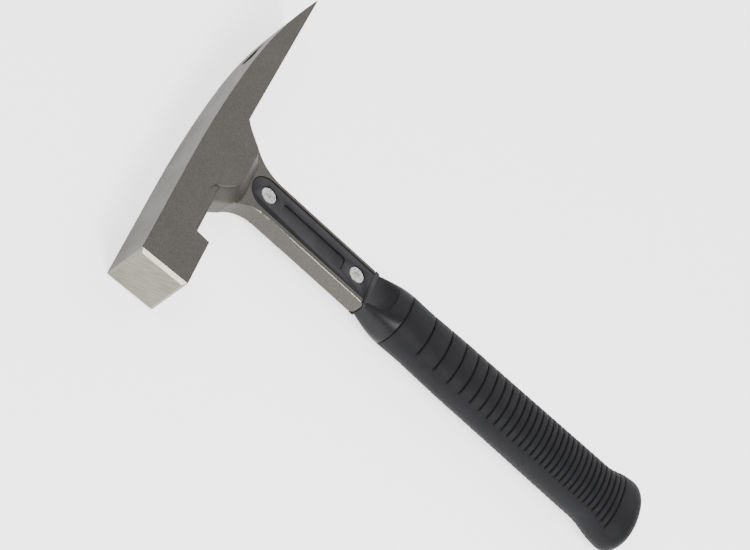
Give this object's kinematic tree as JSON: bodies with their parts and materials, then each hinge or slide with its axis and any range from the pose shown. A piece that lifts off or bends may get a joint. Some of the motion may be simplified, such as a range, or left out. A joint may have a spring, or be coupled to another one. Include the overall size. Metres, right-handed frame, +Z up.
{
  "type": "brick hammer",
  "caption": "Brick hammer with a square poll, a curved chisel blade with a nail slot, a riveted steel neck and a grooved rubber grip.",
  "frame": {"origin": "centre of the bottom of the box of the hammer as it lies on its side, on the floor plane", "axes": "+X from the striking face towards the chisel edge, +Y from the butt towards the top of the head, +Z up through the hammer's thickness"},
  "size_m": [0.2019, 0.275, 0.025],
  "materials": {
    "forged_steel": "blasted, with a ground face and edge",
    "moulded_nylon": "satin",
    "grip_rubber": "matte, finely grained",
    "rivet_steel": "bright, pressed"
  },
  "bodies": {
    "root": {"head": "forged_steel", "handle_core": "moulded_nylon", "grip": "grip_rubber", "upper_rivet_post": "rivet_steel", "upper_rivet_tube": "rivet_steel", "lower_rivet_post": "rivet_steel", "lower_rivet_tube": "rivet_steel"}
  },
  "joints": []
}
